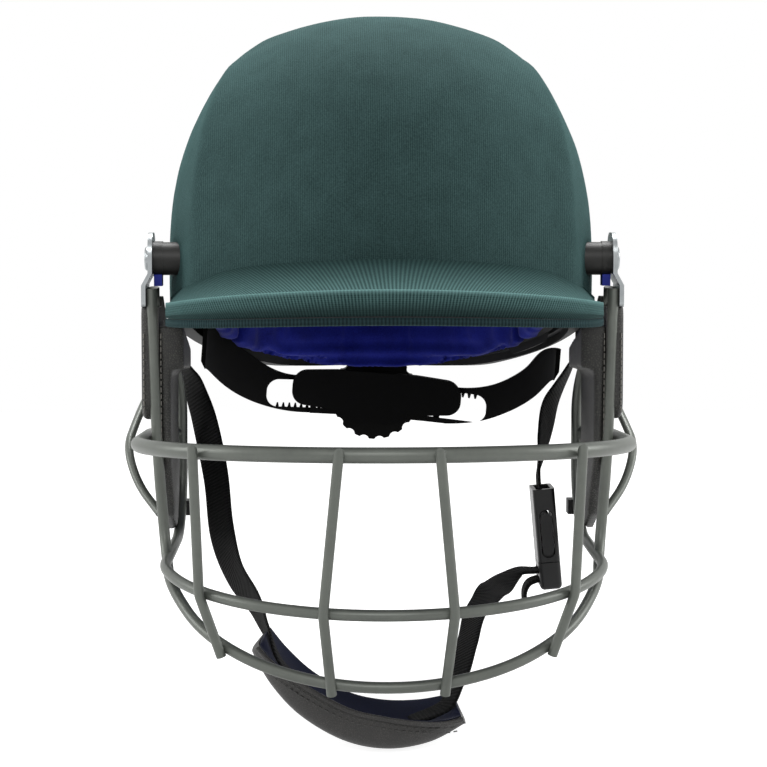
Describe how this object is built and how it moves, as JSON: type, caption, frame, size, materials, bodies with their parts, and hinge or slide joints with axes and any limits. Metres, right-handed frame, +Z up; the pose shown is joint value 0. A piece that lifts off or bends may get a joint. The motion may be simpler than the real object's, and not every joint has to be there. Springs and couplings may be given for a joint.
{
  "type": "cricket helmet",
  "caption": "Cricket helmet with cloth-covered shell and peak, hinged steel face grille, ear guards, padded liner, dial-adjusted rear cradle and buckled chin strap",
  "frame": {"origin": "middle of the head opening, level with the peak's lower edge at its tip", "axes": "+Z up, -Y towards the face and the peak's tip, +X towards the side with the buckle"},
  "size_m": [0.2416, 0.3048, 0.3255],
  "materials": {
    "knit_cloth": "fine ribbed knit",
    "shell_abs": "moulded ABS",
    "foam": "EVA foam",
    "liner_cloth": "brushed blue cloth",
    "trim_rubber": "edge trim",
    "black_nylon": "moulded nylon",
    "blue_rubber": "soft rubber",
    "zinc_steel": "bright pressed steel",
    "grey_steel": "satin grey coating",
    "guard_plastic": "grained",
    "webbing": "ribbed webbing",
    "acetal": "smooth acetal",
    "leatherette": "grained leatherette",
    "navy_cloth": "brushed cloth"
  },
  "bodies": {
    "helmet": {"dome_cover": "knit_cloth", "outer_shell": "shell_abs", "foam_liner": "foam", "rim_trim": "trim_rubber", "pad_rear": "liner_cloth", "pad_left": "liner_cloth", "pad_right": "liner_cloth", "pad_brow": "liner_cloth", "pad_crown": "liner_cloth", "peak_core": "shell_abs", "peak_cover": "knit_cloth", "peak_binding": "knit_cloth", "inner_spacer_left": "black_nylon", "inner_spacer_right": "black_nylon", "outer_spacer_left": "black_nylon", "outer_spacer_right": "black_nylon", "bumper_left": "blue_rubber", "bumper_right": "blue_rubber", "temple_bolts": "zinc_steel", "temple_nuts": "zinc_steel", "strap_rivets": "zinc_steel", "strap_left": "webbing", "strap_right": "webbing", "strap_lower": "webbing", "strap_end": "webbing", "chin_cup": "leatherette", "chin_lining": "navy_cloth", "chin_piping": "leatherette", "buckle_body": "acetal", "buckle_plug": "acetal", "housing_back": "black_nylon", "housing_front": "black_nylon"},
    "dial": {"knob": "black_nylon", "pinion": "acetal"},
    "band_left": {"band_left": "black_nylon"},
    "band_right": {"band_right": "black_nylon"},
    "prong_front": {"prong_front": "acetal"},
    "prong_rear": {"prong_rear": "acetal"},
    "grille": {"side_plate_left": "zinc_steel", "side_plate_right": "zinc_steel", "top_bar": "grey_steel", "mid_bar": "grey_steel", "lower_bar": "grey_steel", "upright_inner_left": "grey_steel", "upright_inner_right": "grey_steel", "upright_outer_left": "grey_steel", "upright_outer_right": "grey_steel", "ear_loop_left": "grey_steel", "ear_loop_right": "grey_steel", "guard_shell_left": "guard_plastic", "guard_shell_right": "guard_plastic", "guard_pad_left": "guard_plastic", "guard_pad_right": "guard_plastic", "guard_tie_left": "trim_rubber", "guard_tie_right": "trim_rubber"}
  },
  "joints": [
    {"name": "grille_tilt", "type": "hinge", "parent": "helmet", "child": "grille", "pos_m": [0, -0.035, 0.026], "axis": [-1, 0, 0], "range_deg": [-3, 6]},
    {"name": "dial_turn", "type": "hinge", "parent": "helmet", "child": "dial", "pos_m": [0, 0.13, -0.051], "axis": [0, -1, 0], "range_deg": [-60, 120]},
    {"name": "band_left_slide", "type": "hinge", "parent": "helmet", "child": "band_left", "pos_m": [0, 0.032, -0.051], "axis": [0.0785, 0, 0.9969], "range_deg": [-8.38, 4.34]},
    {"name": "band_right_slide", "type": "hinge", "parent": "helmet", "child": "band_right", "pos_m": [0, 0.032, -0.051], "axis": [0.0785, 0, 0.9969], "range_deg": [-4.46, 8.62]},
    {"name": "prong_front_press", "type": "slide", "parent": "helmet", "child": "prong_front", "axis": [0, 1, 0], "range_m": [0, 0.0016], "stiffness_N_per_m": 1200, "springref_m": -0.0002},
    {"name": "prong_rear_press", "type": "slide", "parent": "helmet", "child": "prong_rear", "axis": [0, -1, 0], "range_m": [0, 0.0016], "stiffness_N_per_m": 1200, "springref_m": -0.0002}
  ],
  "couplings": [
    {"joint": "band_left_slide", "follows": "dial_turn", "ratio": -0.067356},
    {"joint": "band_right_slide", "follows": "dial_turn", "ratio": 0.069327}
  ]
}
